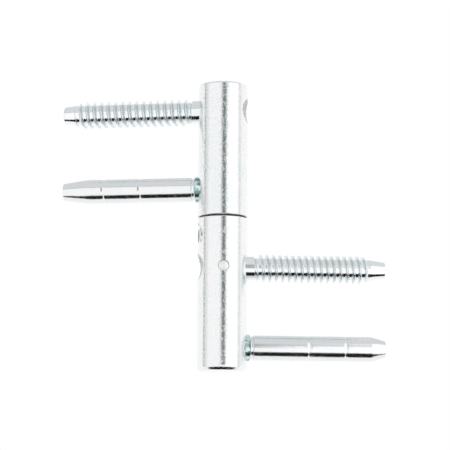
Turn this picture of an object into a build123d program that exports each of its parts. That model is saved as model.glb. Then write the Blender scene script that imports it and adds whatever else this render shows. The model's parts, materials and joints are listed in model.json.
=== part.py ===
from build123d import *
import os
from math import cos, radians, sin

# Two-part drill-in door hinge, in millimetres. The hinge axis is the Z axis. The frame half's barrel
# stands on Z = 0 with its pins along +X, and the leaf half sits above it, turned about the axis.
# Every cross bore and pin is drawn in the half's own frame, where the pins point along +X.

# Barrels
barrel_d = 20.0
frame_barrel_h = 61.3
leaf_barrel_h = 54.1
outer_edge_c = 0.8
joint_edge_c = 0.5
leaf_angle = 165.0

# Fits: radial clearance of what turns or slides, and of what is pressed home for good
running_gap = 0.05
press_gap = 0.02
seat_gap = 0.1

# Hinge pin, its bearing bush, and the ball and pad that rest the leaf on it
hinge_pin_seat_d = 12.0
hinge_pin_d = 10.0
hinge_pin_end_c = 0.6
frame_bore_depth = 13.8
shoulder_drop = 0.3
bush_wall = 0.95
bush_length = 27.0
bush_flange_d = 18.6
bush_flange_t = 0.7
leaf_bore_depth = 35.4
thrust_pad_t = 3.0
ball_d = 5.0
ball_pocket_depth = 3.6

# Eccentric that raises and lowers the hinge pin, in the frame barrel's side away from its pins, its
# height given as a drop from the barrel's top, as the hinge pin's bore and the screw pin's are
adjuster_drop = 7.1
adjuster_d = 10.2
adjuster_face_x = 9.6
adjuster_seat_x = 6.25
adjuster_edge_c = 0.45
adjuster_hex = 5.0
adjuster_hex_depth = 2.4
nib_d = 4.0
nib_reach = 1.9
lift = 3.0
half_turn_of_lift = 45.0
slot_gap = 0.12

# Screw pins: shank in the barrel, neck, core, thread and tip
pin_reach = 65.9
screw_rear_x = 4.9
screw_hex = 5.0
screw_hex_depth = 5.0
screw_edge_c = 0.4
neck_end_x = 12.9
retainer_d = 4.5
retainer_x = 0.5
retainer_bite = 1.0
retainer_face_y = 9.9
retainer_flat_d = 2.6
retainer_cone_h = 0.4

frame_screw_drop = 19.9
frame_neck_d = 9.8
frame_core_d = 8.6
frame_crest_d = 11.6
frame_thread_end_x = 60.1
frame_screw_tip_d = 7.0
frame_key_hole_d = 11.2

leaf_screw_h = 43.3
leaf_neck_d = 9.5
leaf_core_d = 8.3
leaf_crest_d = 11.1
leaf_thread_end_x = 61.5
leaf_screw_tip_d = 7.3
leaf_key_hole_d = 9.9

# Support pins: spigot in the barrel, collar, root groove, plain body, tapered tip
spigot_d = 8.0
collar_seat_x = 8.4
collar_end_x = 11.0
collar_step = 0.25
root_groove_w = 1.4
root_groove_depth = 0.5
pin_edge_r = 0.6

frame_support_z = 9.5
frame_support_d = 10.2
frame_support_taper = 6.0
frame_support_tip_d = 7.2
frame_spigot_length = 10.0

leaf_support_h = 11.4
leaf_support_d = 9.8
leaf_support_taper = 10.8
leaf_support_tip_d = 7.0

# What follows from the sizes above
barrel_r = barrel_d / 2
adjuster_z = frame_barrel_h - adjuster_drop
frame_bore_floor_z = frame_barrel_h - frame_bore_depth
frame_screw_z = frame_barrel_h - frame_screw_drop
leaf_base_z = frame_barrel_h + seat_gap + bush_flange_t
bush_d = hinge_pin_d + 2 * running_gap + 2 * bush_wall
leaf_bore_d = bush_d + 2 * press_gap
pad_base_z = leaf_base_z + leaf_bore_depth - thrust_pad_t
ball_z = pad_base_z - running_gap - ball_d / 2
ball_pocket_floor_z = ball_z - ball_d / 2 - running_gap
hinge_pin_top_z = ball_pocket_floor_z + ball_pocket_depth
nib_offset = lift / 2 / sin(radians(half_turn_of_lift))
leaf_spigot_length = collar_seat_x - bush_d / 2 - seat_gap


def along_x(radius, start, stop):
    """Round bar on the X axis from start to stop."""
    bar = Cylinder(radius, stop - start, align=(Align.CENTER, Align.CENTER, Align.MIN))
    return Pos(start, 0, 0) * Rot(0, 90, 0) * bar


def turned_on_x(outline):
    """Solid of revolution about X, from points (x, radius) that start and end on the axis."""
    return revolve(Plane.XY * make_face(Polyline(*outline, close=True)), Axis.X)


def hex_on_x(flats, start, stop):
    """Hexagonal bar on the X axis, flats being its width across flats."""
    side = RegularPolygon(flats / 2, 6, major_radius=False)
    return Pos(start, 0, 0) * Rot(0, 90, 0) * extrude(side, stop - start)


def in_leaf(part, height=0.0):
    """Part drawn in the leaf half's own frame, put where it is in the hinge."""
    return Rot(0, 0, leaf_angle) * Pos(0, 0, leaf_base_z + height) * part


def barrel(height):
    """Turned bar from Z = 0 up, its lower edge broken for the joint and its upper one for the hand."""
    outline = Polyline(
        (0, 0),
        (barrel_r - joint_edge_c, 0),
        (barrel_r, joint_edge_c),
        (barrel_r, height - outer_edge_c),
        (barrel_r - outer_edge_c, height),
        (0, height),
        close=True,
    )
    return revolve(Plane.XZ * make_face(outline), Axis.Z)


def screw_bore(neck_d, key_hole_d):
    """Cross bore of a screw pin: running bore, key hole on the far side, retaining pin's hole in front."""
    running = along_x(neck_d / 2 + running_gap, -barrel_r, barrel_r + 1)
    key_hole = along_x(key_hole_d / 2, -barrel_r - 1, -screw_rear_x)
    pin_hole = Cylinder(retainer_d / 2, barrel_r + 1, align=(Align.CENTER, Align.CENTER, Align.MIN))
    pin_hole = Pos(-retainer_x, 0, 0) * Rot(90, 0, 0) * pin_hole
    return running + key_hole + pin_hole


def spigot_bore(support_d, spigot_length):
    """Cross bore of a support pin: counterbore for the collar and the spigot's hole behind it."""
    counterbore = along_x(support_d / 2 + collar_step + press_gap, collar_seat_x, barrel_r + 1)
    hole = along_x(spigot_d / 2 + press_gap, collar_seat_x - spigot_length - seat_gap, barrel_r)
    return counterbore + hole


def screw_pin(neck_d, core_d, crest_d, thread_end_x, tip_d):
    """Screw pin, its thread drawn as a plain bar over the crests, with a socket and a groove in the barrel."""
    neck_r = neck_d / 2
    core_r = core_d / 2
    crest_r = crest_d / 2
    groove_r = neck_r - retainer_bite
    groove_half = retainer_d / 2 + running_gap
    outline = [
        (-screw_rear_x, 0),
        (-screw_rear_x, neck_r - screw_edge_c),
        (-screw_rear_x + screw_edge_c, neck_r),
        (-retainer_x - groove_half, neck_r),
        (-retainer_x - groove_half, groove_r),
        (-retainer_x + groove_half, groove_r),
        (-retainer_x + groove_half, neck_r),
        (neck_end_x, neck_r),
        (neck_end_x, crest_r),
        (thread_end_x, crest_r),
        (thread_end_x, core_r),
        (pin_reach - screw_edge_c, tip_d / 2),
        (pin_reach, tip_d / 2 - screw_edge_c),
        (pin_reach, 0),
    ]
    socket = hex_on_x(screw_hex, -screw_rear_x, -screw_rear_x + screw_hex_depth)
    return turned_on_x(outline) - socket


def support_pin(body_d, spigot_length, taper, tip_d):
    """Plain pin with a pressed spigot, a collar against the barrel, a root groove and a tapered tip."""
    body_r = body_d / 2
    collar_r = body_r + collar_step
    groove_end = collar_end_x + root_groove_w
    outline = [
        (collar_seat_x - spigot_length, 0),
        (collar_seat_x - spigot_length, spigot_d / 2),
        (collar_seat_x, spigot_d / 2),
        (collar_seat_x, collar_r),
        (collar_end_x, collar_r),
        (collar_end_x, body_r - root_groove_depth),
        (groove_end, body_r - root_groove_depth),
        (groove_end, body_r),
        (pin_reach - taper, body_r),
        (pin_reach - pin_edge_r, tip_d / 2),
        (pin_reach, tip_d / 2 - pin_edge_r),
        (pin_reach, 0),
    ]
    return turned_on_x(outline)


def retaining_pin(neck_d):
    """Dowel driven in from the front, its inner end in the screw pin's groove, its outer end coned."""
    inner_y = neck_d / 2 - retainer_bite + running_gap
    radius = retainer_d / 2 - press_gap
    outline = Polyline(
        (0, inner_y),
        (radius, inner_y),
        (radius, retainer_face_y - retainer_cone_h),
        (retainer_flat_d / 2, retainer_face_y),
        (0, retainer_face_y),
        close=True,
    )
    dowel = revolve(Plane.XZ * make_face(outline), Axis.Z)
    return Pos(-retainer_x, 0, 0) * Rot(90, 0, 0) * dowel


def frame_barrel():
    """Frame half's barrel: hinge pin bore from above, four cross bores from the sides."""
    body = Pos(0, 0, frame_barrel_h) * Rot(180, 0, 0) * barrel(frame_barrel_h)
    bore_r = hinge_pin_seat_d / 2 + running_gap
    depth = frame_barrel_h - frame_bore_floor_z
    bore = Cylinder(bore_r, depth, align=(Align.CENTER, Align.CENTER, Align.MIN))
    body -= Pos(0, 0, frame_bore_floor_z) * bore
    drum_bore = along_x(adjuster_d / 2 + running_gap, -barrel_r - 1, -adjuster_seat_x + running_gap)
    nib_bore = along_x(nib_offset + nib_d / 2 + slot_gap, -barrel_r, 0)
    body -= Pos(0, 0, adjuster_z) * (drum_bore + nib_bore)
    body -= Pos(0, 0, frame_screw_z) * screw_bore(frame_neck_d, frame_key_hole_d)
    body -= Pos(0, 0, frame_support_z) * spigot_bore(frame_support_d, frame_spigot_length)
    return body


def leaf_barrel():
    """Leaf half's barrel: blind bore from below for bush, ball and pad, two cross bores."""
    body = barrel(leaf_barrel_h)
    body -= Cylinder(leaf_bore_d / 2, leaf_bore_depth, align=(Align.CENTER, Align.CENTER, Align.MIN))
    body -= Pos(0, 0, leaf_screw_h) * screw_bore(leaf_neck_d, leaf_key_hole_d)
    body -= Pos(0, 0, leaf_support_h) * spigot_bore(leaf_support_d, leaf_spigot_length)
    return in_leaf(body)


def hinge_pin():
    """Stepped pin: wide seat with the eccentric's slot, slim bearing above it, the ball's pocket on top."""
    seat_r = hinge_pin_seat_d / 2
    bearing_r = hinge_pin_d / 2
    base_z = frame_bore_floor_z + seat_gap
    shoulder_z = frame_barrel_h - shoulder_drop
    outline = Polyline(
        (0, base_z),
        (seat_r - hinge_pin_end_c, base_z),
        (seat_r, base_z + hinge_pin_end_c),
        (seat_r, shoulder_z),
        (bearing_r, shoulder_z),
        (bearing_r, hinge_pin_top_z - hinge_pin_end_c),
        (bearing_r - hinge_pin_end_c, hinge_pin_top_z),
        (0, hinge_pin_top_z),
        close=True,
    )
    body = revolve(Plane.XZ * make_face(outline), Axis.Z)
    pocket_r = ball_d / 2 + running_gap
    pocket = Cylinder(pocket_r, ball_pocket_depth, align=(Align.CENTER, Align.CENTER, Align.MIN))
    body -= Pos(0, 0, ball_pocket_floor_z) * pocket
    slot_depth_x = adjuster_seat_x - nib_reach - running_gap
    slot = Box(seat_r, 2 * seat_r + 1, nib_d + 2 * slot_gap, align=(Align.MAX, Align.CENTER, Align.CENTER))
    return body - Pos(-slot_depth_x, 0, adjuster_z - lift / 2) * slot


def height_adjuster():
    """Eccentric drum with a hexagon socket, its nib in the hinge pin's slot at the lowest height."""
    drum_r = adjuster_d / 2
    outline = [
        (-adjuster_seat_x, 0),
        (-adjuster_seat_x, drum_r),
        (-adjuster_face_x + adjuster_edge_c, drum_r),
        (-adjuster_face_x, drum_r - adjuster_edge_c),
        (-adjuster_face_x, 0),
    ]
    drum = turned_on_x(outline)
    drum -= hex_on_x(adjuster_hex, -adjuster_face_x, -adjuster_face_x + adjuster_hex_depth)
    nib = along_x(nib_d / 2, -adjuster_seat_x, -adjuster_seat_x + nib_reach)
    start = radians(-half_turn_of_lift)
    drum += Pos(0, nib_offset * cos(start), nib_offset * sin(start)) * nib
    return Pos(0, 0, adjuster_z) * drum


def bearing_bush():
    """Flanged bush in the leaf barrel, whose flange is the washer between the barrels."""
    sleeve_r = bush_d / 2
    inner_r = hinge_pin_d / 2 + running_gap
    flange_r = bush_flange_d / 2
    outline = Polyline(
        (inner_r, -bush_flange_t),
        (flange_r, -bush_flange_t),
        (flange_r, 0),
        (sleeve_r, 0),
        (sleeve_r, bush_length),
        (inner_r, bush_length),
        close=True,
    )
    return in_leaf(revolve(Plane.XZ * make_face(outline), Axis.Z))


def thrust_pad():
    """Hard disc at the blind end of the leaf's bore, which rests on the ball."""
    disc = Cylinder(bush_d / 2, thrust_pad_t, align=(Align.CENTER, Align.CENTER, Align.MIN))
    return Pos(0, 0, pad_base_z) * disc


frame_screw = screw_pin(frame_neck_d, frame_core_d, frame_crest_d, frame_thread_end_x, frame_screw_tip_d)
leaf_screw = screw_pin(leaf_neck_d, leaf_core_d, leaf_crest_d, leaf_thread_end_x, leaf_screw_tip_d)
frame_support = support_pin(frame_support_d, frame_spigot_length, frame_support_taper, frame_support_tip_d)
leaf_support = support_pin(leaf_support_d, leaf_spigot_length, leaf_support_taper, leaf_support_tip_d)

nodes = {
    "frame_barrel": frame_barrel(),
    "frame_support_pin": Pos(0, 0, frame_support_z) * frame_support,
    "frame_screw_pin": Pos(0, 0, frame_screw_z) * frame_screw,
    "frame_retaining_pin": Pos(0, 0, frame_screw_z) * retaining_pin(frame_neck_d),
    "height_adjuster": height_adjuster(),
    "hinge_pin": hinge_pin(),
    "thrust_ball": Pos(0, 0, ball_z) * Sphere(ball_d / 2),
    "leaf_barrel": leaf_barrel(),
    "leaf_support_pin": in_leaf(leaf_support, leaf_support_h),
    "leaf_screw_pin": in_leaf(leaf_screw, leaf_screw_h),
    "leaf_retaining_pin": in_leaf(retaining_pin(leaf_neck_d), leaf_screw_h),
    "bearing_bush": bearing_bush(),
    "thrust_pad": thrust_pad(),
}

os.makedirs("parts", exist_ok=True)
for name, shape in nodes.items():
    export_step(shape, f"parts/{name}.step")
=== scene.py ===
"""Two-part drill-in door hinge in bright zinc plate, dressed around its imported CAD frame.

Each half is a turned barrel that carries a threaded pin and a plain support pin. The frame half also
holds the eccentric that lifts the hinge pin, and the leaf half turns on that pin on a flanged bush.
Lengths in the outlines are in millimetres and are turned into metres when a mesh is made.
"""

import json
import logging
from collections.abc import Callable
from dataclasses import dataclass, field
from enum import Enum
from math import atan2, ceil, cos, pi, radians, sin, sqrt

import bmesh
import bpy
from mathutils import Matrix, Vector


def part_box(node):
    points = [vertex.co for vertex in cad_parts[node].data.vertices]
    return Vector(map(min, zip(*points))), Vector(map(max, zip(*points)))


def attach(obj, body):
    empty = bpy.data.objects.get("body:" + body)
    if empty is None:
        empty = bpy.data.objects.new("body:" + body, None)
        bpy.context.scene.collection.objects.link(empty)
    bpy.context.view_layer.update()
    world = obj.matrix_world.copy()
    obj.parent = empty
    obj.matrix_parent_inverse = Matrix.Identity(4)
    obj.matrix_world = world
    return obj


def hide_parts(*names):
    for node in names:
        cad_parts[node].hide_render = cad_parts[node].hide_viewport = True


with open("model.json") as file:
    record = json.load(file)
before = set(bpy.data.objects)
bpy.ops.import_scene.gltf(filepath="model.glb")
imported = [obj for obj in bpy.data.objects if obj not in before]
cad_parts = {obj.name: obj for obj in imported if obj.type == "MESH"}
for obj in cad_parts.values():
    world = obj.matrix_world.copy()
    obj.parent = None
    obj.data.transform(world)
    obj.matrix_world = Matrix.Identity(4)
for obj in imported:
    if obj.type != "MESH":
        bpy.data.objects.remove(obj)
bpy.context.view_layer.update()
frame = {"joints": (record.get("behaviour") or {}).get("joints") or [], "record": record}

log = logging.getLogger("hinge")
MM = 0.001
CLEAR_MM = 1.0  # margin that lets cutters pass what they cut, or overlap each other
MERGE_DISTANCE = 2e-6
SHARP_ANGLE = radians(28)
ON_AXIS_MM = 1e-6
UPRIGHT = 0.01  # largest vertical part of the normal of a face on a barrel's wall

Point = tuple[float, float]
Colour = tuple[float, float, float]
Shell = bmesh.types.BMesh
Material = bpy.types.Material
Piece = bpy.types.Object


class Half(Enum):
    """The two halves of the hinge, by the word that their CAD nodes and bodies start with."""

    FRAME = "frame"
    LEAF = "leaf"


SCREW_Z = {Half.FRAME: 41.4, Half.LEAF: 43.3}
SUPPORT_Z = {Half.FRAME: 9.5, Half.LEAF: 11.4}
NECK_D = {Half.FRAME: 9.8, Half.LEAF: 9.5}


def joint(name: str) -> dict:
    """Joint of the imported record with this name."""
    return next(j for j in frame["joints"] if j["name"] == name)


def box_radius(node: str) -> float:
    """Radius in millimetres of an upright turned CAD node, from its box."""
    low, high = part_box(node)
    return (high.x - low.x) / 2 / MM


def levels(node: str) -> tuple[float, float]:
    """Lowest and highest point of a CAD node in millimetres."""
    low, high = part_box(node)
    return low.z / MM, high.z / MM


def placement(half: Half) -> Matrix:
    """Matrix from a half's own frame, pins along +X and barrel from Z = 0, to the hinge's frame.

    Args:
        half: The half whose frame is meant.

    Returns:
        The turn about the hinge axis and the rise to the half's lower end, in metres.
    """
    axis = joint(f"{half.value}_screw_turn")["axis"]
    base_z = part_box(f"{half.value}_barrel")[0].z
    return Matrix.Translation((0, 0, base_z)) @ Matrix.Rotation(atan2(axis[1], axis[0]), 4, "Z")


def operator(operation: str, swapped: bool = False) -> Callable:
    """Method of a Wire for one sign, with the two sides swapped for its reflected form."""
    def method(self: "Wire", other: "Wire | float" = 0.0) -> "Wire":
        """Adds the Math node of this sign."""
        first, second = (other, self) if swapped else (self, other)
        return self.tree.math(operation, first, second)
    return method


class Wire:
    """An output socket whose arithmetic adds Math nodes to its tree."""

    __add__ = operator("ADD")
    __radd__ = operator("ADD", swapped=True)
    __sub__ = operator("SUBTRACT")
    __rsub__ = operator("SUBTRACT", swapped=True)
    __mul__ = operator("MULTIPLY")
    __rmul__ = operator("MULTIPLY", swapped=True)
    __truediv__ = operator("DIVIDE")
    __abs__ = operator("ABSOLUTE")

    def __init__(self, tree: "Tree", socket: bpy.types.NodeSocket) -> None:
        """Keeps the tree and the socket."""
        self.tree = tree
        self.socket = socket

    def clamp(self, low: "Wire | float", high: "Wire | float") -> "Wire":
        """This value, held between two others."""
        return self.tree.math("MINIMUM", self.tree.math("MAXIMUM", self, low), high)

    def ease(self, start: "Wire | float", stop: "Wire | float") -> "Wire":
        """Smooth step from 0 at start to 1 at stop."""
        share = ((self - start) / (stop - start)).clamp(0.0, 1.0)
        return share * share * (3.0 - 2.0 * share)


class Tree:
    """A node tree that is built node by node."""

    def __init__(self, tree: bpy.types.NodeTree) -> None:
        """Keeps the tree and empties it."""
        self.tree = tree
        tree.nodes.clear()

    def node(self, kind: str, settings: dict | None = None, inputs: dict | None = None) -> bpy.types.Node:
        """Adds one node.

        Args:
            kind: Blender's type of the node.
            settings: Properties of the node, set before its sockets.
            inputs: Values, wires or materials by the socket's name or number.

        Returns:
            The new node.
        """
        made = self.tree.nodes.new(kind)
        for name, value in (settings or {}).items():
            setattr(made, name, value)
        for name, value in (inputs or {}).items():
            if isinstance(value, Wire):
                self.tree.links.new(value.socket, made.inputs[name])
            else:
                made.inputs[name].default_value = value
        return made

    def out(self, kind: str, output: str | int = 0, settings: dict | None = None,
            inputs: dict | None = None) -> Wire:
        """Adds one node and returns the wire from one of its outputs."""
        return Wire(self, self.node(kind, settings, inputs).outputs[output])

    def math(self, operation: str, first: "Wire | float", second: "Wire | float" = 0.0) -> Wire:
        """Adds one Math node."""
        return self.out("ShaderNodeMath", 0, {"operation": operation}, {0: first, 1: second})


class ThreadTree(Tree):
    """Geometry Nodes tree of a rolled thread: a sheet wound about the X axis, raised along one helix."""

    SIZES = ("Core Radius", "Crest Radius", "Pitch", "Start", "End", "Crest Width", "Root Width",
             "Run In", "Run Out", "Turns")
    COUNTS = ("Steps", "Rows")
    CROWDING = 0.35
    FLANK_CURVE = 1.25
    # Attribute of where shade is painted: dark reflection on thread flanks, shade and pale highlights on the
    # collars' teal tone, shadow round the dowel ends
    TINT_AND_SHADE = "tint"

    def __init__(self) -> None:
        """Builds the tree with its named inputs."""
        group = bpy.data.node_groups.new("rolled_thread", "GeometryNodeTree")
        super().__init__(group)
        for kind, names in (("Float", self.SIZES), ("Int", self.COUNTS), ("Material", ("Finish",))):
            for name in names:
                group.interface.new_socket(name, in_out="INPUT", socket_type=f"NodeSocket{kind}")
        group.interface.new_socket("Geometry", in_out="OUTPUT", socket_type="NodeSocketGeometry")
        self.given = self.node("NodeGroupInput")
        self.build()

    def size(self, name: str) -> Wire:
        """Wire from one of the named inputs."""
        return Wire(self, self.given.outputs[name])

    def build(self) -> None:
        """Winds the grid, stores the flank share where shade is painted, raises the ridge, closes the seams
        and sets the finish.
        """
        core, crest, pitch, start, end, crest_w, root_w, run_in, run_out, count = (
            self.size(name) for name in self.SIZES)
        grid = self.node("GeometryNodeMeshGrid", inputs={
            "Size X": 1.0, "Size Y": 1.0, "Vertices X": self.size("Steps"), "Vertices Y": self.size("Rows")})
        place = self.node("ShaderNodeSeparateXYZ", inputs={
            "Vector": self.out("GeometryNodeInputPosition")})
        across = 2.0 * Wire(self, place.outputs["X"])
        turns = (Wire(self, place.outputs["Y"]) + 0.5) * count
        crowded = across * (self.CROWDING + (1.0 - self.CROWDING) * across * across)
        from_ridge = 0.5 * pitch * crowded
        axial = (start + pitch * (turns - 0.5) + from_ridge).clamp(start, end)
        half_crest, half_root = 0.5 * crest_w, 0.5 * root_w
        fall = ((abs(from_ridge) - half_crest) / (half_root - half_crest)).clamp(0.0, 1.0)
        ridge = self.math("POWER", 1.0 - fall, self.FLANK_CURVE)
        rise = axial.ease(start, start + run_in)
        fade = 1.0 - axial.ease(end - run_out, end)
        radius = core + (crest - core) * ridge * rise * fade
        angle = 2.0 * pi * turns
        wound = self.out("ShaderNodeCombineXYZ", inputs={
            "X": axial,
            "Y": radius * self.math("COSINE", angle),
            "Z": radius * self.math("SINE", angle)})
        # The flank share, highest halfway down each flank, is where the screw finish paints dark reflection
        # as painted shade
        shape = self.out("GeometryNodeStoreNamedAttribute", inputs={
            "Geometry": Wire(self, grid.outputs["Mesh"]), "Name": self.TINT_AND_SHADE,
            "Value": 4.0 * ridge * (1.0 - ridge)})
        shape = self.out("GeometryNodeSetPosition", inputs={"Geometry": shape, "Position": wound})
        shape = self.out("GeometryNodeMergeByDistance", inputs={
            "Geometry": shape, "Distance": MERGE_DISTANCE})
        shape = self.out("GeometryNodeRealizeInstances", inputs={"Geometry": shape})
        shape = self.out("GeometryNodeSetMaterial", inputs={
            "Geometry": shape, "Material": self.size("Finish")})
        self.node("NodeGroupOutput", inputs={"Geometry": shape})

    def mesh(self, sizes: dict[str, float], finish: Material) -> bpy.types.Mesh:
        """Evaluates the tree once with these inputs.

        Args:
            sizes: Value of each named input.
            finish: Material of the thread.

        Returns:
            A plain mesh in the pin's own frame.
        """
        carrier = bpy.data.objects.new("thread_carrier", bpy.data.meshes.new("thread_carrier"))
        bpy.context.scene.collection.objects.link(carrier)
        modifier = carrier.modifiers.new("thread", "NODES")
        modifier.node_group = self.tree
        values = {**sizes, "Finish": finish}
        for item in self.tree.interface.items_tree:
            if item.in_out == "INPUT":
                modifier[item.identifier] = values[item.name]
        carrier.update_tag()
        graph = bpy.context.evaluated_depsgraph_get()
        made = bpy.data.meshes.new_from_object(carrier.evaluated_get(graph))
        bpy.data.objects.remove(carrier)
        return made


class ShaderTree(Tree):
    """A material's node tree, with the patterns that the hinge's finishes share."""

    NOISE_ROUGHNESS = 0.55
    PIT_EDGE = (0.5, 1.3)
    SKIN_MM = (0.12, 0.05)
    MIX_COLOURS = (6, 7)
    MIX_RESULT = 2

    def __init__(self, material: Material) -> None:
        """Starts the tree with the object's own coordinates."""
        material.use_nodes = True
        super().__init__(material.node_tree)
        self.place = self.out("ShaderNodeTexCoord", "Object")

    def noise(self, grain_mm: float, detail: float = 2.0, stretch: Colour = (1.0, 1.0, 1.0)) -> Wire:
        """Noise whose lumps are about grain_mm across, stretched along the axes if asked."""
        scale = 1.0 / (grain_mm * MM)
        place = self.out("ShaderNodeMapping", inputs={
            "Vector": self.place, "Scale": tuple(scale / part for part in stretch)})
        return self.out("ShaderNodeTexNoise", "Fac", inputs={
            "Vector": place, "Scale": 1.0, "Detail": detail, "Roughness": self.NOISE_ROUGHNESS})

    def pits(self, radius_mm: float, apart_mm: float = 4.5) -> Wire:
        """Share that is 1 in small spots, scattered unevenly over the piece, and 0 elsewhere."""
        cells = self.node("ShaderNodeTexVoronoi", inputs={
            "Vector": self.place, "Scale": 1.0 / (apart_mm * MM), "Randomness": 1.0})
        chance = self.node("ShaderNodeSeparateColor", inputs={"Color": Wire(self, cells.outputs["Color"])})
        size = radius_mm / apart_mm * Wire(self, chance.outputs["Red"])
        inner, outer = self.PIT_EDGE
        return 1.0 - Wire(self, cells.outputs["Distance"]).ease(inner * size, outer * size)

    def inside_wall(self, wall_r_mm: float, ends_mm: Point) -> Wire:
        """Share that is 1 in the bores of a barrel about Z, away from its broken ends, and 0 on its wall."""
        place = self.node("ShaderNodeSeparateXYZ", inputs={"Vector": self.place})
        across, along, height = (Wire(self, place.outputs[name]) for name in "XYZ")
        distance = self.math("SQRT", across * across + along * along)
        deep = 1.0 - distance.ease(*((wall_r_mm - skin) * MM for skin in self.SKIN_MM))
        above = self.math("GREATER_THAN", height, ends_mm[0] * MM)
        below = self.math("LESS_THAN", height, ends_mm[1] * MM)
        return deep * above * below

    def blend(self, share: Wire, first: "Colour | Wire", second: "Colour | Wire") -> Wire:
        """Mixes two colours by a share from 0 to 1."""
        mixed = self.node("ShaderNodeMix", {"data_type": "RGBA"})
        self.tree.links.new(share.socket, mixed.inputs[0])
        for number, colour in zip(self.MIX_COLOURS, (first, second)):
            if isinstance(colour, Wire):
                self.tree.links.new(colour.socket, mixed.inputs[number])
            else:
                mixed.inputs[number].default_value = (*colour, 1.0)
        return Wire(self, mixed.outputs[self.MIX_RESULT])

    def bump(self, height: Wire, depth_mm: float, below: "Wire | None" = None) -> Wire:
        """Normal of a surface with this height pattern on it, on top of another bump if one is given."""
        inputs = {"Height": height, "Distance": depth_mm * MM, "Strength": 1.0}
        if below is not None:
            inputs["Normal"] = below
        return self.out("ShaderNodeBump", inputs=inputs)

    def surface(self, inputs: dict) -> None:
        """Ends the tree in a Principled shader with these inputs."""
        shader = self.out("ShaderNodeBsdfPrincipled", inputs=inputs)
        self.node("ShaderNodeOutputMaterial", inputs={"Surface": shader})


@dataclass(frozen=True)
class Finish:
    """A finish by its name; each kind gives the inputs of its Principled shader."""

    name: str

    def inputs(self, tree: ShaderTree) -> dict:
        """Inputs of the shader, for the kinds of finish to fill in."""
        raise NotImplementedError

    def material(self) -> Material:
        """Builds the material of this finish."""
        made = bpy.data.materials.new(self.name)
        tree = ShaderTree(made)
        tree.surface(self.inputs(tree))
        return made


@dataclass(frozen=True)
class ZincPlate(Finish):
    """Bright zinc plate: a fine satin grain with a faint drift between bluish and straw tones."""

    base: Colour = (0.875, 0.885, 0.890)
    cool: Colour = (0.830, 0.872, 0.882)
    cool_span: Point = (0.52, 0.70)
    warm: Colour = (0.895, 0.880, 0.850)
    warm_span: Point = (0.56, 0.74)
    warm_scale: float = 0.6
    roughness: Point = (0.15, 0.26)
    rough_mm: float = 1.5
    rough_span: Point = (0.3, 0.7)
    drift_mm: float = 14.0
    grain_mm: float = 0.55
    grain_depth_mm: float = 0.010
    wave_mm: float = 3.0
    wave_depth_mm: float = 0.010
    speckle: Colour = (0.45, 0.48, 0.50)
    speckle_mm: float = 0.9
    speckle_span: Point = (0.44, 0.64)
    speckle_share: float = 0.0
    pit: Colour = (0.33, 0.33, 0.34)
    pit_mm: float = 0.16
    pit_share: float = 0.55
    # The bores, inside wall_r_mm and between ends_mm, are painted near-white and matt as painted light
    wall_r_mm: float = 0.0
    ends_mm: Point = (0.0, 0.0)
    bore: Colour = (0.97, 0.97, 0.97)
    bore_rough: float = 0.75
    # The tint paints shade where the attribute asks for it, and painted_highlight paints pale highlight
    # patches into it
    tint_rough: float = 0.45
    shade_tint_attribute: str = ""
    tint: Colour = (0.5, 0.6, 0.6)
    painted_highlight: Colour | None = None
    patch_mm: float = 2.6
    patch_span: Point = (0.40, 0.60)

    def paint_shade_tint(self, tree: ShaderTree, colour: Wire, rough: Wire) -> tuple[Wire, Wire]:
        """Tints a surface where the piece's own attribute asks for it, as painted shade, painted reflection
        and painted highlight.

        Args:
            tree: The material's tree.
            colour: Colour without the tint.
            rough: Roughness without the tint.

        Returns:
            Colour and roughness, in patches of the tint and the painted highlight if the finish has one.
        """
        share = tree.out("ShaderNodeAttribute", "Fac", {"attribute_name": self.shade_tint_attribute}).clamp(0.0, 1.0)
        highlight_patches = tree.noise(self.patch_mm, 1.0).ease(*self.patch_span)
        patch = tree.blend(highlight_patches, self.tint, self.painted_highlight or self.tint)
        return tree.blend(share, colour, patch), rough + (self.tint_rough - rough) * share

    def inputs(self, tree: ShaderTree) -> dict:
        """Drifting tones, mottled gloss, speckle and pits, then the tint with its painted shade, and the
        duller bores painted near-white as painted light.
        """
        drift = tree.noise(self.drift_mm, 3.0)
        colour = tree.blend(drift.ease(*self.cool_span), self.base, self.cool)
        straw = tree.noise(self.drift_mm * self.warm_scale, 2.0)
        colour = tree.blend(straw.ease(*self.warm_span), colour, self.warm)
        grain = tree.noise(self.grain_mm, 3.0)
        wave = tree.noise(self.wave_mm, 2.0)
        low, high = self.roughness
        rough = low + (high - low) * tree.noise(self.rough_mm, 3.0).ease(*self.rough_span)
        speckles = tree.noise(self.speckle_mm, 2.0).ease(*self.speckle_span)
        colour = tree.blend(speckles * self.speckle_share, colour, self.speckle)
        colour = tree.blend(tree.pits(self.pit_mm) * self.pit_share, colour, self.pit)
        if self.shade_tint_attribute:
            colour, rough = self.paint_shade_tint(tree, colour, rough)
        # Painted light: the bores are painted near-white and made matt so that they read as brightly lit
        if self.wall_r_mm:
            painted_light_bore = tree.inside_wall(self.wall_r_mm, self.ends_mm)
            colour = tree.blend(painted_light_bore, colour, self.bore)
            rough = rough + (self.bore_rough - rough) * painted_light_bore
        normal = tree.bump(grain, self.grain_depth_mm, tree.bump(wave, self.wave_depth_mm))
        return {"Base Color": colour, "Metallic": 1.0, "Roughness": rough, "Normal": normal}


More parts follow.
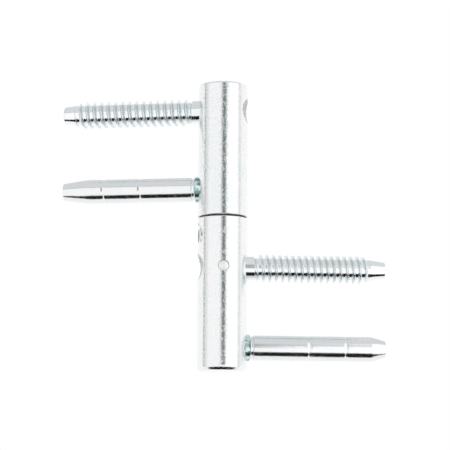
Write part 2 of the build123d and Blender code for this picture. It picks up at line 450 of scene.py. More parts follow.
@dataclass(frozen=True)
class GroundSteel(Finish):
    """Hardened steel, ground: faint lines round the part under an oil film."""

    base: Colour = (0.62, 0.62, 0.61)
    roughness: Point = (0.18, 0.30)
    line_mm: float = 0.25
    line_stretch: Colour = (40.0, 40.0, 1.0)
    line_depth_mm: float = 0.003
    film_mm: float = 5.0
    film_span: Point = (0.4, 0.7)
    film_dim: float = 0.86

    def inputs(self, tree: ShaderTree) -> dict:
        """Dimmer and rougher where the film lies, over the grinding lines."""
        lines = tree.noise(self.line_mm, 2.0, self.line_stretch)
        film = tree.noise(self.film_mm, 3.0)
        dimmed = tuple(self.film_dim * part for part in self.base)
        low, high = self.roughness
        return {
            "Base Color": tree.blend(film.ease(*self.film_span), self.base, dimmed),
            "Metallic": 1.0,
            "Roughness": low + (high - low) * film,
            "Normal": tree.bump(lines, self.line_depth_mm)}


@dataclass(frozen=True)
class MouldedPlastic(Finish):
    """Black acetal: a soft sheen over a fine moulded grain."""

    base: Colour = (0.016, 0.017, 0.018)
    worn: Colour = (0.045, 0.047, 0.048)
    grain_mm: float = 0.30
    grain_depth_mm: float = 0.006
    patch_mm: float = 4.0
    patch_span: Point = (0.5, 0.8)
    rough_low: float = 0.42
    rough_rise: float = 0.16

    def inputs(self, tree: ShaderTree) -> dict:
        """Worn, rougher patches over the moulded grain."""
        patch = tree.noise(self.patch_mm, 3.0)
        return {
            "Base Color": tree.blend(patch.ease(*self.patch_span), self.base, self.worn),
            "Roughness": self.rough_low + self.rough_rise * patch,
            "Normal": tree.bump(tree.noise(self.grain_mm, 2.0), self.grain_depth_mm)}


def arc(centre: Point, radius: float, start: float, stop: float, steps: int) -> list[Point]:
    """Points on an arc in an outline.

    Args:
        centre: Centre of the arc, as (along, radius).
        radius: Radius of the arc.
        start: Angle of the first point, in degrees from the along direction.
        stop: Angle of the last point.
        steps: Number of chords.

    Returns:
        The points, both ends included.
    """
    turn = [radians(start + (stop - start) * i / steps) for i in range(steps + 1)]
    return [(centre[0] + radius * cos(a), centre[1] + radius * sin(a)) for a in turn]


def braced(outline: list[Point], near: float = 0.12, long: float = 1.2) -> list[Point]:
    """Outline with a point close to each end of its long straights, which keeps their shading straight."""
    points = [outline[0]]
    for first, second in zip(outline, outline[1:]):
        run = sqrt((second[0] - first[0]) ** 2 + (second[1] - first[1]) ** 2)
        if run > long and min(first[1], second[1]) > 0:
            for share in (near / run, 1 - near / run):
                points.append(tuple(a + (b - a) * share for a, b in zip(first, second)))
        points.append(second)
    return points


def turned(outline: list[Point], segments: int, along: str = "X") -> Shell:
    """Solid of revolution from an outline that starts and ends on the axis.

    Args:
        outline: Points (along, radius) in millimetres, the first and last on the axis.
        segments: Number of flats round the axis.
        along: X or Z, the axis that the outline runs along.

    Returns:
        A closed shell in metres, with its faces pointing outwards.
    """
    shell = bmesh.new()
    rings = []
    for place, radius in outline:
        if radius < ON_AXIS_MM:
            rings.append([shell.verts.new(axis_point(place, 0.0, 0.0, along))])
            continue
        turn = [2 * pi * i / segments for i in range(segments)]
        rings.append([
            shell.verts.new(axis_point(place, radius * cos(a), radius * sin(a), along)) for a in turn])
    for first, second in zip(rings, rings[1:]):
        join_rings(shell, first, second)
    bmesh.ops.recalc_face_normals(shell, faces=shell.faces)
    return shell


def axis_point(place: float, first: float, second: float, along: str) -> Vector:
    """Point of a turned part in metres, from its place along the axis and its two offsets from it."""
    return Vector((place, first, second) if along == "X" else (first, second, place)) * MM


def join_rings(shell: Shell, first: list, second: list) -> None:
    """Adds the faces between two rings of a turned part, either of which may be a point on the axis."""
    if len(first) == 1 and len(second) == 1:
        return
    count = max(len(first), len(second))
    for i in range(count):
        corners = [first[i % len(first)], first[(i + 1) % len(first)],
                   second[(i + 1) % len(second)], second[i % len(second)]]
        shell.faces.new(list(dict.fromkeys(corners)))


def prism(flats: float, start: float, stop: float) -> Shell:
    """Hexagonal bar along X with a corner upwards, flats being its width across flats."""
    return turned([(start, 0), (start, flats / sqrt(3)), (stop, flats / sqrt(3)), (stop, 0)], 6)


def bar(radius: float, start: float, stop: float, along: str = "X", segments: int = 128) -> Shell:
    """Round bar from start to stop, mostly used as a cutter."""
    return turned([(start, 0), (start, radius), (stop, radius), (stop, 0)], segments, along)


def moved(shell: Shell, matrix: Matrix) -> Shell:
    """The shell after its points were moved by a matrix."""
    bmesh.ops.transform(shell, matrix=matrix, verts=shell.verts)
    return shell


def raised(shell: Shell, height: float) -> Shell:
    """The shell, raised by a height in millimetres."""
    return moved(shell, Matrix.Translation((0, 0, height * MM)))


def as_object(shell: Shell, name: str) -> Piece:
    """Object at the origin that holds the shell as its mesh."""
    mesh = bpy.data.meshes.new(name)
    shell.to_mesh(mesh)
    shell.free()
    made = bpy.data.objects.new(name, mesh)
    bpy.context.scene.collection.objects.link(made)
    return made


def carve(body: Piece, cutters: list[Shell]) -> None:
    """Cuts each cutter out of the body and keeps the result as a plain mesh."""
    tools = []
    for number, cutter in enumerate(cutters):
        tool = as_object(cutter, f"cutter_{number}")
        tools.append(tool)
        cut = body.modifiers.new(tool.name, "BOOLEAN")
        cut.operation = "DIFFERENCE"
        cut.solver = "EXACT"
        cut.object = tool
    bpy.context.view_layer.update()
    graph = bpy.context.evaluated_depsgraph_get()
    carved = bpy.data.meshes.new_from_object(body.evaluated_get(graph))
    body.modifiers.clear()
    body.data = carved
    for tool in tools:
        bpy.data.objects.remove(tool)


def weld(shell: Shell, flat: float = MERGE_DISTANCE) -> None:
    """Merges points that coincide, then dissolves edges and slivers thinner than flat, in metres."""
    bmesh.ops.remove_doubles(shell, verts=shell.verts, dist=MERGE_DISTANCE)
    bmesh.ops.dissolve_degenerate(shell, edges=shell.edges, dist=flat)


def smooth(piece: Piece, angle: float = SHARP_ANGLE) -> None:
    """Shades the piece smooth between its sharp edges."""
    shell = bmesh.new()
    shell.from_mesh(piece.data)
    weld(shell)
    shell.to_mesh(piece.data)
    shell.free()
    piece.data.shade_smooth()
    piece.data.set_sharp_from_angle(angle=angle)


def true_wall(piece: Piece, radius: float) -> None:
    """Gives the outer wall of a barrel the normals of a true cylinder about Z.

    Args:
        piece: The barrel, in its own frame, already shaded smooth.
        radius: Radius of the wall in metres.
    """
    mesh = piece.data
    on_wall = 0.999
    wall = on_wall * radius
    normals = [Vector((0, 0, 0)) for _ in mesh.loops]
    for face in mesh.polygons:
        corners = [mesh.vertices[i].co for i in face.vertices]
        upright = abs(face.normal.z) < UPRIGHT
        if upright and all(corner.xy.length > wall for corner in corners):
            for loop in face.loop_indices:
                place = mesh.vertices[mesh.loops[loop].vertex_index].co
                normals[loop] = Vector((place.x, place.y, 0)).normalized()
    mesh.normals_split_custom_set(normals)


def mark(piece: Piece, chosen: Callable[[Vector], bool]) -> None:
    """Stores 1 in the tint attribute, which marks where shade is painted, at the points that are chosen by
    their place, and 0 at the rest.
    """
    tint = piece.data.attributes.new(ThreadTree.TINT_AND_SHADE, "FLOAT", "POINT")
    for vertex in piece.data.vertices:
        tint.data[vertex.index].value = float(chosen(vertex.co))


def body_of(node: str) -> str:
    """Body that a CAD node rides on."""
    return next(body for body, nodes in frame["record"]["behaviour"]["bodies"].items() if node in nodes)


def seat(piece: Piece, matrix: Matrix, node: str, finish: Material) -> None:
    """Puts a finished piece in the hinge's frame in place of its CAD node, on that node's body.

    Args:
        piece: The piece, still in its half's own frame.
        matrix: Matrix to the hinge's frame.
        node: CAD node that it stands for.
        finish: Material for the whole piece.
    """
    piece.name = f"{node}_finished"
    piece.data.name = piece.name
    piece.data.transform(matrix)
    piece.data.materials.clear()
    piece.data.materials.append(finish)
    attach(piece, body_of(node))
    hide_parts(node)
    log.info("%s: %d faces", piece.name, len(piece.data.polygons))


@dataclass
class Barrel:
    """Turned barrel of one half, with the cross bores of its two pins."""

    half: Half
    screw_z: float
    support_z: float
    neck_d: float
    key_hole_d: float
    collar_d: float
    spigot_reach: float
    outer_edge: Point = (0.75, 0.55)
    joint_edge_r: float = 0.16
    running_gap: float = 0.05
    press_gap: float = 0.02
    retainer_d: float = 4.5
    retainer_x: float = -0.5
    retainer_start: float = 0.8
    screw_rear_x: float = -4.9
    collar_seat_x: float = 8.4
    spigot_d: float = 8.0
    segments: int = 256
    bores: list = field(default_factory=list)

    @property
    def node(self) -> str:
        """Name of the barrel's CAD node."""
        return f"{self.half.value}_barrel"

    def sizes(self) -> tuple[float, float]:
        """Radius and height in millimetres, from the CAD box."""
        low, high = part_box(self.node)
        return box_radius(self.node), (high.z - low.z) / MM

    def outline(self) -> list[Point]:
        """Outline whose outer end, with the wider edge, is down on the frame half and up on the leaf's."""
        radius, height = self.sizes()
        outer, inner = self.outer_edge, (self.joint_edge_r, self.joint_edge_r)
        low, high = (outer, inner) if self.half is Half.FRAME else (inner, outer)
        lower = [(tall, radius - deep) for deep, tall in self.edge(low)]
        upper = [(height - tall, radius - deep) for deep, tall in self.edge(high)[::-1]]
        return [(0, 0), *lower, *upper, (height, 0)]

    @staticmethod
    def edge(size: Point, ease: float = 0.5, steps: int = 6) -> list[Point]:
        """Broken edge from the end face to the wall, as (in, along): a chamfer whose corners are eased."""
        deep, tall = size
        corners = (((deep + ease * deep, 0.0), (deep, 0.0), (deep * (1 - ease / 2), tall * ease / 2)),
                   ((deep * ease / 2, tall * (1 - ease / 2)), (0.0, tall), (0.0, tall + ease * tall)))
        points = []
        for first, middle, last in corners:
            for i in range(steps + 1):
                t = i / steps
                points.append(tuple((1 - t) ** 2 * a + 2 * t * (1 - t) * b + t * t * c
                                    for a, b, c in zip(first, middle, last)))
        return points

    def cross_bores(self) -> list[Shell]:
        """Cutters for the threaded pin, its key hole, its dowel and the support pin.

        The dowel's bore is cut first and starts inside the threaded pin's, which then takes its end away.

        Returns:
            The cutters in the order in which they are used.
        """
        radius, _ = self.sizes()
        past = radius + 2 * CLEAR_MM
        running = bar(self.neck_d / 2 + self.running_gap, -radius, past)
        key_hole = bar(self.key_hole_d / 2, -past, self.screw_rear_x)
        dowel = bar(self.retainer_d / 2, self.retainer_start * self.neck_d / 2, past)
        dowel = moved(dowel, Matrix.Rotation(radians(-90), 4, "Z"))
        dowel = moved(dowel, Matrix.Translation((self.retainer_x * MM, 0, 0)))
        screw_bores = [raised(cutter, self.screw_z) for cutter in (dowel, running, key_hole)]
        counterbore = bar(self.collar_d / 2 + self.press_gap, self.collar_seat_x, past)
        hole = bar(self.spigot_d / 2 + self.press_gap, self.spigot_reach, past - CLEAR_MM)
        return screw_bores + [raised(cutter, self.support_z) for cutter in (counterbore, hole)]

    def build(self, finish: Material) -> None:
        """Turns the barrel, bores it and seats it in the hinge."""
        radius, _ = self.sizes()
        body = as_object(turned(self.outline(), self.segments, "Z"), self.node)
        carve(body, self.cross_bores() + self.bores)
        smooth(body)
        true_wall(body, radius * MM)
        seat(body, placement(self.half), self.node, finish)


@dataclass
class SupportPin:
    """Plain pin with a spigot, a collar against the barrel, a root groove, two rings and a tapered tip."""

    half: Half
    height: float
    body_d: float
    taper: float
    tip_d: float
    spigot_start: float
    spigot_d: float = Barrel.spigot_d
    collar_seat_x: float = Barrel.collar_seat_x
    collar_end_x: float = 11.0
    tint_past: float = 0.01
    collar_step: float = 0.25
    collar_edge_r: float = 0.25
    root_groove_w: float = 1.4
    root_groove_depth: float = 0.5
    ring_x: Point = (34.75, 49.6)
    ring_w: float = 1.6
    ring_depth: float = 0.20
    ring_steps: int = 10
    tip_edge_r: float = 0.35
    tip_bend: float = 1.25
    tip_steps: int = 12
    segments: int = 160

    def ring(self, centre: float) -> list[Point]:
        """Shallow rolled groove round the pin."""
        share = [i / self.ring_steps for i in range(self.ring_steps + 1)]
        return [(centre + (s - 0.5) * self.ring_w,
                 self.body_d / 2 - self.ring_depth * 0.5 * (1 - cos(2 * pi * s))) for s in share]

    def tip(self, reach: float) -> list[Point]:
        """Taper that bends softly out of the body and ends in a rounded edge."""
        body_r, tip_r, edge = self.body_d / 2, self.tip_d / 2, self.tip_edge_r
        start = reach - self.taper
        steps = self.tip_steps
        run = self.taper - edge
        drop = body_r - tip_r
        bend = [(start + run * i / steps, body_r - drop * (i / steps) ** self.tip_bend) for i in range(steps)]
        return bend + arc((reach - edge, tip_r - edge), edge, 80, 0, 6) + [(reach, 0)]

    def outline(self, reach: float) -> list[Point]:
        """Outline from the spigot's inner end to the tip."""
        body_r = self.body_d / 2
        collar_r = body_r + self.collar_step
        edge = self.collar_edge_r
        groove_end = self.collar_end_x + self.root_groove_w
        depth = self.root_groove_depth
        points = [
            (self.spigot_start, 0), (self.spigot_start, self.spigot_d / 2),
            (self.collar_seat_x, self.spigot_d / 2), (self.collar_seat_x, collar_r)]
        points += arc((self.collar_end_x - edge, collar_r - edge), edge, 90, 0, 5)
        points += arc((self.collar_end_x + depth, body_r), depth, 180, 270, 6)
        points += arc((groove_end - depth, body_r), depth, 270, 340, 5)
        points.append((groove_end, body_r))
        for centre in self.ring_x:
            points += self.ring(centre)
        return points + self.tip(reach)

    def build(self, finish: Material) -> None:
        """Turns the pin and seats it in the hinge."""
        node = f"{self.half.value}_support_pin"
        reach = pin_reach()
        body = as_object(raised(turned(braced(self.outline(reach)), self.segments), self.height), node)
        smooth(body)
        # The collar takes a teal tone darkened as painted shade, with pale patches as painted highlights
        mark(body, lambda place: place.x < (self.collar_end_x + self.tint_past) * MM)
        seat(body, placement(self.half), node, finish)


def pin_reach() -> float:
    """Distance in millimetres from the hinge axis to the tips of all four pins."""
    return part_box("frame_screw_pin")[1].x / MM


@dataclass
class ScrewPin:
    """Threaded pin: shank with a hexagon socket and a groove in the barrel, neck, thread and tip."""

    half: Half
    neck_d: float
    core_d: float
    crest_d: float
    pitch: float
    thread_start: float
    thread_end: float
    tip_d: float
    tip_x: float
    root_w: float
    crest_w: float = 0.16
    run_in: float = 0.5
    run_out: float = 1.2
    rear_x: float = Barrel.screw_rear_x
    rear_edge: float = 0.4
    socket_flats: float = 5.0
    socket_depth: float = 5.0
    groove_x: float = Barrel.retainer_x
    groove_half: float = 2.3
    groove_depth: float = 1.0
    core_lead: float = 0.15
    tip_edge_r: float = 0.25
    sharp_deg: float = 40.0
    segments: int = 72
    steps: int = 25

    def rear(self) -> list[Point]:
        """Outline from the socket end to where the thread starts."""
        neck_r, core_r = self.neck_d / 2, self.core_d / 2
        low, high = self.groove_x - self.groove_half, self.groove_x + self.groove_half
        core_x = self.thread_start - self.core_lead
        return [
            (self.rear_x, 0), (self.rear_x, neck_r - self.rear_edge),
            (self.rear_x + self.rear_edge, neck_r), (low, neck_r), (low, neck_r - self.groove_depth),
            (high, neck_r - self.groove_depth), (high, neck_r),
            (core_x - (neck_r - core_r), neck_r), (core_x, core_r), (self.thread_start, core_r)]

    def front(self, reach: float) -> list[Point]:
        """Outline from the thread's end to the tip."""
        core_r, tip_r, edge = self.core_d / 2, self.tip_d / 2, self.tip_edge_r
        return ([(self.thread_end, core_r), (self.tip_x, core_r)]
                + arc((reach - edge, tip_r - edge), edge, 80, 0, 5) + [(reach, 0)])

    def thread(self, tree: ThreadTree, finish: Material) -> bpy.types.Mesh:
        """The threaded length as a mesh that is open at both ends."""
        turns = ceil((self.thread_end - self.thread_start) / self.pitch) + 1
        return tree.mesh({
            "Core Radius": self.core_d / 2 * MM, "Crest Radius": self.crest_d / 2 * MM,
            "Pitch": self.pitch * MM, "Start": self.thread_start * MM, "End": self.thread_end * MM,
            "Crest Width": self.crest_w * MM, "Root Width": self.root_w * MM,
            "Run In": self.run_in * self.pitch * MM, "Run Out": self.run_out * self.pitch * MM,
            "Turns": float(turns), "Steps": self.steps, "Rows": turns * self.segments + 1}, finish)

    def build(self, tree: ThreadTree, finish: Material) -> None:
        """Joins thread and turned ends, sinks the socket and seats the pin in the hinge."""
        node = f"{self.half.value}_screw_pin"
        shell = bmesh.new()
        shell.from_mesh(self.thread(tree, finish))
        for outline in (self.rear(), self.front(pin_reach())):
            end = turned(braced(outline), self.segments)
            mesh = bpy.data.meshes.new("end")
            end.to_mesh(mesh)
            end.free()
            shell.from_mesh(mesh)
            bpy.data.meshes.remove(mesh)
        weld(shell, MERGE_DISTANCE / 4)
        bmesh.ops.recalc_face_normals(shell, faces=shell.faces)
        pin = as_object(shell, node)
        carve(pin, [prism(self.socket_flats, self.rear_x - CLEAR_MM, self.rear_x + self.socket_depth)])
        smooth(pin, radians(self.sharp_deg))
        turn = joint(f"{self.half.value}_screw_turn")
        matrix = placement(self.half)
        lift = Matrix.Translation((0, 0, turn["pos_m"][2] - matrix.translation.z))
        seat(pin, matrix @ lift, node, finish)


@dataclass
class RetainingPin:
    """Dowel driven into its half from the -Y side, with a coned outer end."""

    half: Half
    height: float
    neck_d: float
    diameter: float = 4.46
    place_x: float = Barrel.retainer_x
    bite: float = 1.0
    running_gap: float = Barrel.running_gap
    face_y: float = 9.9
    flat_d: float = 2.6
    flat_edge: float = 0.1
    cone_h: float = 0.4
    shoulder_edge: Point = (0.1, 0.06)
    cone_start: Point = (0.08, 0.36)
    cone_end: Point = (0.06, 0.12)
    # The outer rim of the dowel's end, rim_w wide, is painted dark as the shadow in the gap round it
    rim_w: float = 0.2
    sharp_deg: float = 20.0
    segments: int = 96

    def build(self, finish: Material) -> None:
        """Turns the dowel along X, swings it to -Y and seats it."""
        node = f"{self.half.value}_retaining_pin"
        radius = self.diameter / 2
        inner = self.neck_d / 2 - self.bite + self.running_gap
        shoulder = self.face_y - self.cone_h
        edge, start, end = self.shoulder_edge, self.cone_start, self.cone_end
        outline = [(inner, 0), (inner, radius), (shoulder - edge[0], radius), (shoulder, radius - edge[1]),
                   (shoulder + start[0], radius - start[1]), (self.face_y - end[0], self.flat_d / 2 + end[1]),
                   (self.face_y, self.flat_d / 2 - self.flat_edge), (self.face_y, 0)]
        shell = moved(turned(braced(outline), self.segments), Matrix.Rotation(radians(-90), 4, "Z"))
        shell = moved(shell, Matrix.Translation((self.place_x * MM, 0, self.height * MM)))
        dowel = as_object(shell, node)
        smooth(dowel, radians(self.sharp_deg))
        centre = Vector((self.place_x, self.height))
        # Painted shadow: the rim of the end is tinted dark for the gap round the dowel
        mark(dowel, lambda place: (place.xz / MM - centre).length > radius - self.rim_w)
        seat(dowel, placement(self.half), node, finish)


@dataclass
class HeightAdjuster:
    """Eccentric drum with a hexagon socket outside and a nib in the hinge pin's slot inside."""

    diameter: float = 10.2
    face_x: float = -9.6
    seat_x: float = -6.25
    edge: float = 0.45
    socket_flats: float = 5.0
    socket_depth: float = 2.4
    nib_d: float = 4.0
    nib_reach: float = 1.9
    lift: float = 3.0
    half_turn: float = 45.0
    segments: int = 128
    nib_segments: int = 64

    @property
    def nib_offset(self) -> float:
        """Distance of the nib's centre from the drum's axis."""
        return self.lift / 2 / sin(radians(self.half_turn))

    def height(self) -> float:
        """Height of the drum's axis in millimetres, from its joint."""
        return joint("adjuster_turn")["pos_m"][2] / MM

    def build(self, finish: Material) -> None:
        """Turns the drum, sinks its socket, adds the nib and seats it."""
        radius = self.diameter / 2
        outline = [(self.face_x, 0), (self.face_x, radius - self.edge), (self.face_x + self.edge, radius),
                   (self.seat_x, radius), (self.seat_x, 0)]
        drum = as_object(turned(outline, self.segments), "drum")
        carve(drum, [prism(self.socket_flats, self.face_x - CLEAR_MM, self.face_x + self.socket_depth)])
        start = radians(-self.half_turn)
        nib = bar(self.nib_d / 2, self.seat_x, self.seat_x + self.nib_reach, segments=self.nib_segments)
        offset = Vector((0, self.nib_offset * cos(start), self.nib_offset * sin(start))) * MM
        shell = moved(nib, Matrix.Translation(offset))
        shell.from_mesh(drum.data)
        bpy.data.objects.remove(drum)
        piece = as_object(raised(shell, self.height()), "height_adjuster")
        smooth(piece)
        seat(piece, placement(Half.FRAME), "height_adjuster", finish)


@dataclass
class Bearing:
    """Hinge pin, ball, pad and flanged bush between the two halves."""

    seat_d: float = 12.0
    pin_d: float = 10.0
    end_edge: float = 0.6
    shoulder_drop: float = 0.3
    pocket_gap: float = 0.05
    pocket_depth: float = 3.6
    ball_steps: int = 48
    pad_edge: float = 0.2
    bush_wall_d: float = 12.0
    bush_flange_d: float = 18.6
    bush_flange_t: float = 0.7
    bush_bore_gap: float = 0.05
    flange_edge_r: float = 0.12
    slot_gap: float = 0.12
    segments: int = 128
    bush_segments: int = 192

    @staticmethod
    def upright(node: str, outline: list[Point], segments: int, finish: Material,
                cutters: list[Shell] | None = None) -> None:
        """Turns a piece about Z where it belongs in the hinge, cuts it and seats it.

        Args:
            node: CAD node that the piece stands for.
            outline: Points (height, radius) in millimetres.
            segments: Number of flats round the axis.
            finish: Material of the piece.
            cutters: What is cut out of it, if anything.
        """
        piece = as_object(turned(outline, segments, "Z"), node)
        if cutters:
            carve(piece, cutters)
        smooth(piece)
        seat(piece, Matrix.Identity(4), node, finish)

    def hinge_pin(self, adjuster: HeightAdjuster, finish: Material) -> None:
        """Stepped pin with the eccentric's slot and the ball's pocket."""
        low, high = levels("hinge_pin")
        shoulder = levels("frame_barrel")[1] - self.shoulder_drop
        seat_r, pin_r, edge = self.seat_d / 2, self.pin_d / 2, self.end_edge
        outline = [(low, 0), (low, seat_r - edge), (low + edge, seat_r), (shoulder, seat_r),
                   (shoulder, pin_r), (high - edge, pin_r), (high, pin_r - edge), (high, 0)]
        pocket_r = box_radius("thrust_ball") + self.pocket_gap
        pocket = bar(pocket_r, high - self.pocket_depth, high + CLEAR_MM, "Z")
        half_slot = adjuster.nib_d / 2 + self.slot_gap
        slot_x = adjuster.seat_x + adjuster.nib_reach + self.pocket_gap
        slot_z = adjuster.height() - adjuster.lift / 2
        slot = bmesh.new()
        bmesh.ops.create_cube(slot, size=1.0)
        size = (seat_r, 2 * seat_r + CLEAR_MM, 2 * half_slot)
        moved(slot, Matrix.Diagonal((*(side * MM for side in size), 1.0)))
        moved(slot, Matrix.Translation(Vector((slot_x - seat_r / 2, 0, slot_z)) * MM))
        self.upright("hinge_pin", outline, self.segments, finish, [pocket, slot])

    def ball(self, finish: Material) -> None:
        """Ball in the pocket of the hinge pin."""
        low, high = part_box("thrust_ball")
        radius = (high.z - low.z) / 2 / MM
        middle = (high.z + low.z) / 2 / MM
        outline = arc((middle, 0), radius, 180, 0, self.ball_steps)
        outline[0], outline[-1] = (middle - radius, 0), (middle + radius, 0)
        self.upright("thrust_ball", outline, self.segments, finish)

    def pad(self, finish: Material) -> None:
        """Hard disc at the blind end of the leaf's bore, its edges broken."""
        radius, edge = box_radius("thrust_pad"), self.pad_edge
        bottom, top = levels("thrust_pad")
        outline = [(bottom, 0), (bottom, radius - edge), (bottom + edge, radius), (top - edge, radius),
                   (top, radius - edge), (top, 0)]
        self.upright("thrust_pad", outline, self.segments, finish)

    def bush(self, finish: Material) -> None:
        """Flanged bush, whose flange is the dark washer between the barrels."""
        low, high = levels("bearing_bush")
        bore_r = self.pin_d / 2 + self.bush_bore_gap
        wall_r, flange_r, edge = self.bush_wall_d / 2, self.bush_flange_d / 2, self.flange_edge_r
        top = low + self.bush_flange_t
        outline = [(low, 0)]
        outline += arc((low + edge, flange_r - edge), edge, 180, 90, 4)
        outline += arc((top - edge, flange_r - edge), edge, 90, 0, 4)
        outline += [(top, wall_r), (high, wall_r), (high, 0)]
        bore = bar(bore_r, low - CLEAR_MM, high + CLEAR_MM, "Z", self.bush_segments)
        self.upright("bearing_bush", outline, self.bush_segments, finish, [bore])


@dataclass(frozen=True)
class Card:
    """A curved studio card round the hinge, seen only in reflections.

    Its place is given as the camera sees it: azimuth 0 is at the camera, positive to the right, and
    elevation is above the horizon, both in degrees.
    """

    name: str
    azimuth: Point
    elevation: Point
    level: float
    distance: float = 1.5
    tint: Colour = (1.0, 1.0, 1.0)


SKY_TINT = (0.95, 0.98, 1.0)
BROW_TINT = (0.9, 0.98, 1.0)


@dataclass
class Studio:
    """Floor, world, cards and the camera at the photograph's angle."""

    lens_mm: float = 133.04
    sensor_mm: float = 36.0
    camera_distance: float = 0.6632
    camera_offset: float = 0.00096
    camera_height: float = -0.0394
    pitch_deg: float = 8.43
    roll_deg: float = 0.305
    yaw_deg: float = 6.0
    clip: Point = (0.01, 50.0)
    card_steps: int = 24
    floor_drop: float = 1.1
    floor_radius: float = 6.0
    floor_tone: Colour = (0.92, 0.92, 0.92)
    floor_glow: float = 0.9
    floor_segments: int = 64
    middle: Vector = field(default_factory=lambda: Vector((0.0, 0.0, 0.058)))
    cards: tuple[Card, ...] = (
        Card("key_card", (15.5, 77.0), (-40.0, 17.0), 1.20),
        Card("fill_edge", (-90.0, -72.0), (-40.0, 31.0), 0.84),
        Card("fill_card", (-72.0, -5.0), (-40.0, 31.0), 1.04),
        Card("camera_stripe", (-4.0, 15.0), (-6.0, 30.0), 0.24, 0.6, (0.82, 0.95, 1.0)),
        Card("left_line", (-94.5, -90.0), (-20.0, 31.0), 0.12, tint=(0.8, 1.0, 1.0)),
        Card("right_line", (77.0, 91.0), (-30.0, 40.0), 0.80),
        Card("left_side", (-180.0, -94.5), (-40.0, 31.0), 1.03),
        Card("right_side", (91.0, 180.0), (-40.0, 40.0), 1.06),
        Card("left_brow", (-180.0, -5.0), (31.0, 34.5), 0.38, tint=BROW_TINT),
        Card("key_top", (23.0, 77.0), (17.0, 40.0), 1.20),
        Card("right_brow", (-5.0, 23.0), (17.0, 20.0), 0.38, tint=BROW_TINT),
        Card("left_sky", (-180.0, -5.0), (34.5, 90.0), 0.76, tint=SKY_TINT),
        Card("right_sky", (-5.0, 23.0), (20.0, 90.0), 0.76, tint=SKY_TINT),
        Card("back_sky", (23.0, 180.0), (40.0, 90.0), 0.76, tint=SKY_TINT),
        Card("low_flag", (-80.0, 80.0), (-78.0, -42.0), 0.01, 1.0),
    )

    def basis(self) -> tuple[Vector, Vector]:
        """Level directions of the camera: forwards and to the right."""
        yaw = radians(self.yaw_deg)
        return Vector((sin(yaw), cos(yaw), 0)), Vector((cos(yaw), -sin(yaw), 0))

    def camera(self) -> None:
        """Camera with the photograph's place, lens and tilt."""
        forward, right = self.basis()
        data = bpy.data.cameras.new("camera")
        data.lens = self.lens_mm
        data.sensor_width = self.sensor_mm
        data.clip_start, data.clip_end = self.clip
        made = bpy.data.objects.new("camera", data)
        bpy.context.scene.collection.objects.link(made)
        made.location = -forward * self.camera_distance + right * self.camera_offset
        made.location.z = self.camera_height
        pitch = radians(self.pitch_deg)
        look = forward * cos(pitch) + Vector((0, 0, sin(pitch)))
        turn = look.to_track_quat("-Z", "Y").to_matrix().to_4x4()
        made.matrix_world = (Matrix.Translation(made.location) @ turn
                             @ Matrix.Rotation(radians(self.roll_deg), 4, "Z"))
        bpy.context.scene.camera = made

    @staticmethod
    def staged(made: Piece, name: str) -> Tree:
        """Gives an object a material of this name, whose empty tree is returned."""
        material = bpy.data.materials.new(name)
        material.use_nodes = True
        made.data.materials.append(material)
        return Tree(material.node_tree)

    def card(self, card: Card) -> None:
        """Makes one card as a patch of a sphere round the hinge."""
        forward, right = self.basis()
        shell = bmesh.new()
        steps = self.card_steps
        rows = []
        for i in range(steps + 1):
            elevation = radians(card.elevation[0] + (card.elevation[1] - card.elevation[0]) * i / steps)
            row = []
            for k in range(steps + 1):
                azimuth = radians(card.azimuth[0] + (card.azimuth[1] - card.azimuth[0]) * k / steps)
                level = -forward * cos(azimuth) + right * sin(azimuth)
                way = level * cos(elevation) + Vector((0, 0, sin(elevation)))
                row.append(shell.verts.new(self.middle + way * card.distance))
            rows.append(row)
        for low, high in zip(rows, rows[1:]):
            for k in range(steps):
                shell.faces.new((low[k], low[k + 1], high[k + 1], high[k]))
        made = as_object(shell, card.name)
        tree = self.staged(made, card.name)
        glow = tree.out("ShaderNodeEmission", inputs={"Color": (*card.tint, 1.0), "Strength": card.level})
        tree.node("ShaderNodeOutputMaterial", inputs={"Surface": glow})
        for kind in ("camera", "diffuse", "shadow", "transmission"):
            setattr(made, f"visible_{kind}", False)

    def floor(self) -> None:
        """Pale floor well below the hinge, which shows as white and takes a faint shadow."""
        outline = [(-self.floor_drop / MM, 0), (-self.floor_drop / MM, self.floor_radius / MM)]
        made = as_object(turned(outline, self.floor_segments, "Z"), "floor")
        tree = self.staged(made, "pale_floor")
        rays = tree.node("ShaderNodeLightPath").outputs
        camera, glossy, through = (
            Wire(tree, rays[f"Is {kind} Ray"]) for kind in ("Camera", "Glossy", "Transmission"))
        seen = tree.math("MAXIMUM", camera, tree.math("MAXIMUM", glossy, through))
        matt = tree.out("ShaderNodeBsdfDiffuse", inputs={"Color": (*self.floor_tone, 1.0)})
        white = tree.out("ShaderNodeEmission", inputs={"Color": (1.0, 1.0, 1.0, 1.0), "Strength": 1.0})
        mixed = tree.out("ShaderNodeMixShader", inputs={0: seen * self.floor_glow, 1: matt, 2: white})
        tree.node("ShaderNodeOutputMaterial", inputs={"Surface": mixed})

    def world(self) -> None:
        """Even white light from all round."""
        world = bpy.data.worlds.new("studio_white")
        bpy.context.scene.world = world
        world.use_nodes = True
        tree = Tree(world.node_tree)
        white = tree.out("ShaderNodeBackground", inputs={"Color": (1.0, 1.0, 1.0, 1.0), "Strength": 1.0})
        tree.node("ShaderNodeOutputWorld", inputs={"Surface": white})

    def build(self) -> None:
        """Sets up the whole studio."""
        self.world()
        self.floor()
        for card in self.cards:
            self.card(card)
        self.camera()
        bpy.context.scene.view_settings.view_transform = "Standard"


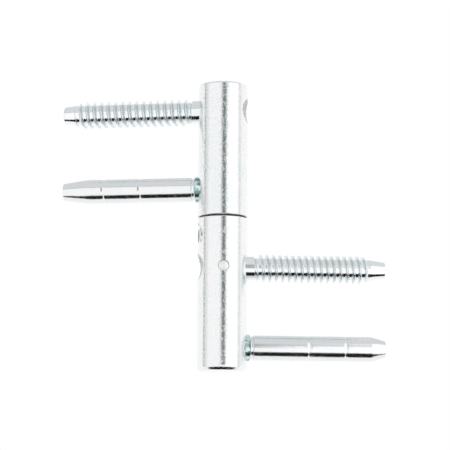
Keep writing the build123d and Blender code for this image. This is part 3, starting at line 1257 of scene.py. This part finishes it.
def frame_barrel(adjuster: HeightAdjuster, bearing: Bearing) -> Barrel:
    """Lower barrel with the bore of the hinge pin and the seat of the eccentric."""
    half = Half.FRAME
    gap, floor_gap = 0.05, 0.1
    top = levels("frame_barrel")[1]
    floor_z = levels("hinge_pin")[0] - floor_gap
    rear = -box_radius("frame_barrel") - CLEAR_MM
    sweep = adjuster.nib_offset + adjuster.nib_d / 2 + bearing.slot_gap
    pin_bore = bar(bearing.seat_d / 2 + gap, floor_z, top + CLEAR_MM, "Z")
    drum_bore = bar(adjuster.diameter / 2 + gap, rear, adjuster.seat_x + gap)
    nib_bore = bar(sweep, adjuster.seat_x - CLEAR_MM, 0)
    bores = [pin_bore] + [raised(bore, adjuster.height()) for bore in (drum_bore, nib_bore)]
    return Barrel(half, SCREW_Z[half], SUPPORT_Z[half], NECK_D[half], key_hole_d=11.2, collar_d=10.7,
                  spigot_reach=-1.7, outer_edge=(0.85, 1.5), bores=bores)


def leaf_barrel() -> Barrel:
    """Upper barrel with the blind bore of the bush and the pad."""
    half = Half.LEAF
    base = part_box("leaf_barrel")[0].z
    depth = (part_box("thrust_pad")[1].z - base) / MM
    bore_r = box_radius("thrust_pad") + Barrel.press_gap
    return Barrel(half, SCREW_Z[half], SUPPORT_Z[half], NECK_D[half], key_hole_d=9.9, collar_d=10.3,
                  spigot_reach=6.0, bores=[bar(bore_r, -CLEAR_MM, depth, "Z")])


def main() -> None:
    """Builds the finishes, both halves, the bearing between them and the studio."""
    logging.basicConfig(level=logging.INFO, format="%(name)s: %(message)s")
    # wall_r_mm and ends_mm give the bores that are painted near-white as painted light
    barrel = {"roughness": (0.05, 0.30), "rough_mm": 0.95, "rough_span": (0.46, 0.62), "grain_mm": 0.42,
              "grain_depth_mm": 0.04, "wall_r_mm": 10.0, "ends_mm": (3.0, 114.5)}
    frame_zinc = ZincPlate("zinc_frame_barrel", speckle_share=0.03, **barrel).material()
    leaf_zinc = ZincPlate("zinc_leaf_barrel", speckle_share=0.11, **barrel).material()
    # Collar tint: a teal tone darkened as painted shade, with pale patches as painted highlights
    pin_zinc = ZincPlate("zinc_pin", roughness=(0.12, 0.22), grain_depth_mm=0.009,
                         shade_tint_attribute=ThreadTree.TINT_AND_SHADE, tint=(0.16, 0.32, 0.31),
                         painted_highlight=(0.74, 0.84, 0.83), tint_rough=0.22).material()
    # Flank tint: painted dark reflection on the thread flanks
    screw_zinc = ZincPlate("zinc_screw", base=(0.93, 0.94, 0.95), roughness=(0.10, 0.18), grain_mm=0.4,
                           shade_tint_attribute=ThreadTree.TINT_AND_SHADE, tint=(0.70, 0.77, 0.78), tint_rough=0.34).material()
    # Rim tint: painted shadow in the gap round the dowel's end
    dowel_zinc = ZincPlate("zinc_dowel", base=(0.97, 0.97, 0.96), roughness=(0.40, 0.75), grain_mm=0.5,
                           grain_depth_mm=0.05, shade_tint_attribute=ThreadTree.TINT_AND_SHADE, tint=(0.42, 0.43, 0.44)).material()
    bright = ZincPlate("bright_steel", roughness=(0.16, 0.28), grain_mm=0.3).material()
    ball_steel = GroundSteel("ball_steel").material()
    acetal = MouldedPlastic("black_acetal").material()

    adjuster = HeightAdjuster()
    bearing = Bearing()
    frame_barrel(adjuster, bearing).build(frame_zinc)
    leaf_barrel().build(leaf_zinc)

    SupportPin(Half.FRAME, SUPPORT_Z[Half.FRAME], body_d=10.2, taper=6.0, tip_d=7.2,
               spigot_start=-1.6).build(pin_zinc)
    SupportPin(Half.LEAF, SUPPORT_Z[Half.LEAF], body_d=9.8, taper=10.8, tip_d=7.0,
               spigot_start=6.1, ring_x=(33.7, 48.9)).build(pin_zinc)

    threads = ThreadTree()
    ScrewPin(Half.FRAME, NECK_D[Half.FRAME], core_d=8.6, crest_d=11.6, pitch=2.618, thread_start=13.3,
             thread_end=59.5, tip_d=7.0, tip_x=60.1, root_w=1.25).build(threads, screw_zinc)
    ScrewPin(Half.LEAF, NECK_D[Half.LEAF], core_d=8.3, crest_d=11.1, pitch=2.935, thread_start=13.1,
             thread_end=61.3, tip_d=7.3, tip_x=61.5, root_w=1.75).build(threads, screw_zinc)
    for half in Half:
        RetainingPin(half, SCREW_Z[half], NECK_D[half]).build(dowel_zinc)

    adjuster.build(bright)
    bearing.hinge_pin(adjuster, bright)
    bearing.ball(ball_steel)
    bearing.pad(acetal)
    bearing.bush(acetal)

    Studio().build()


if __name__ == "__main__":
    main()
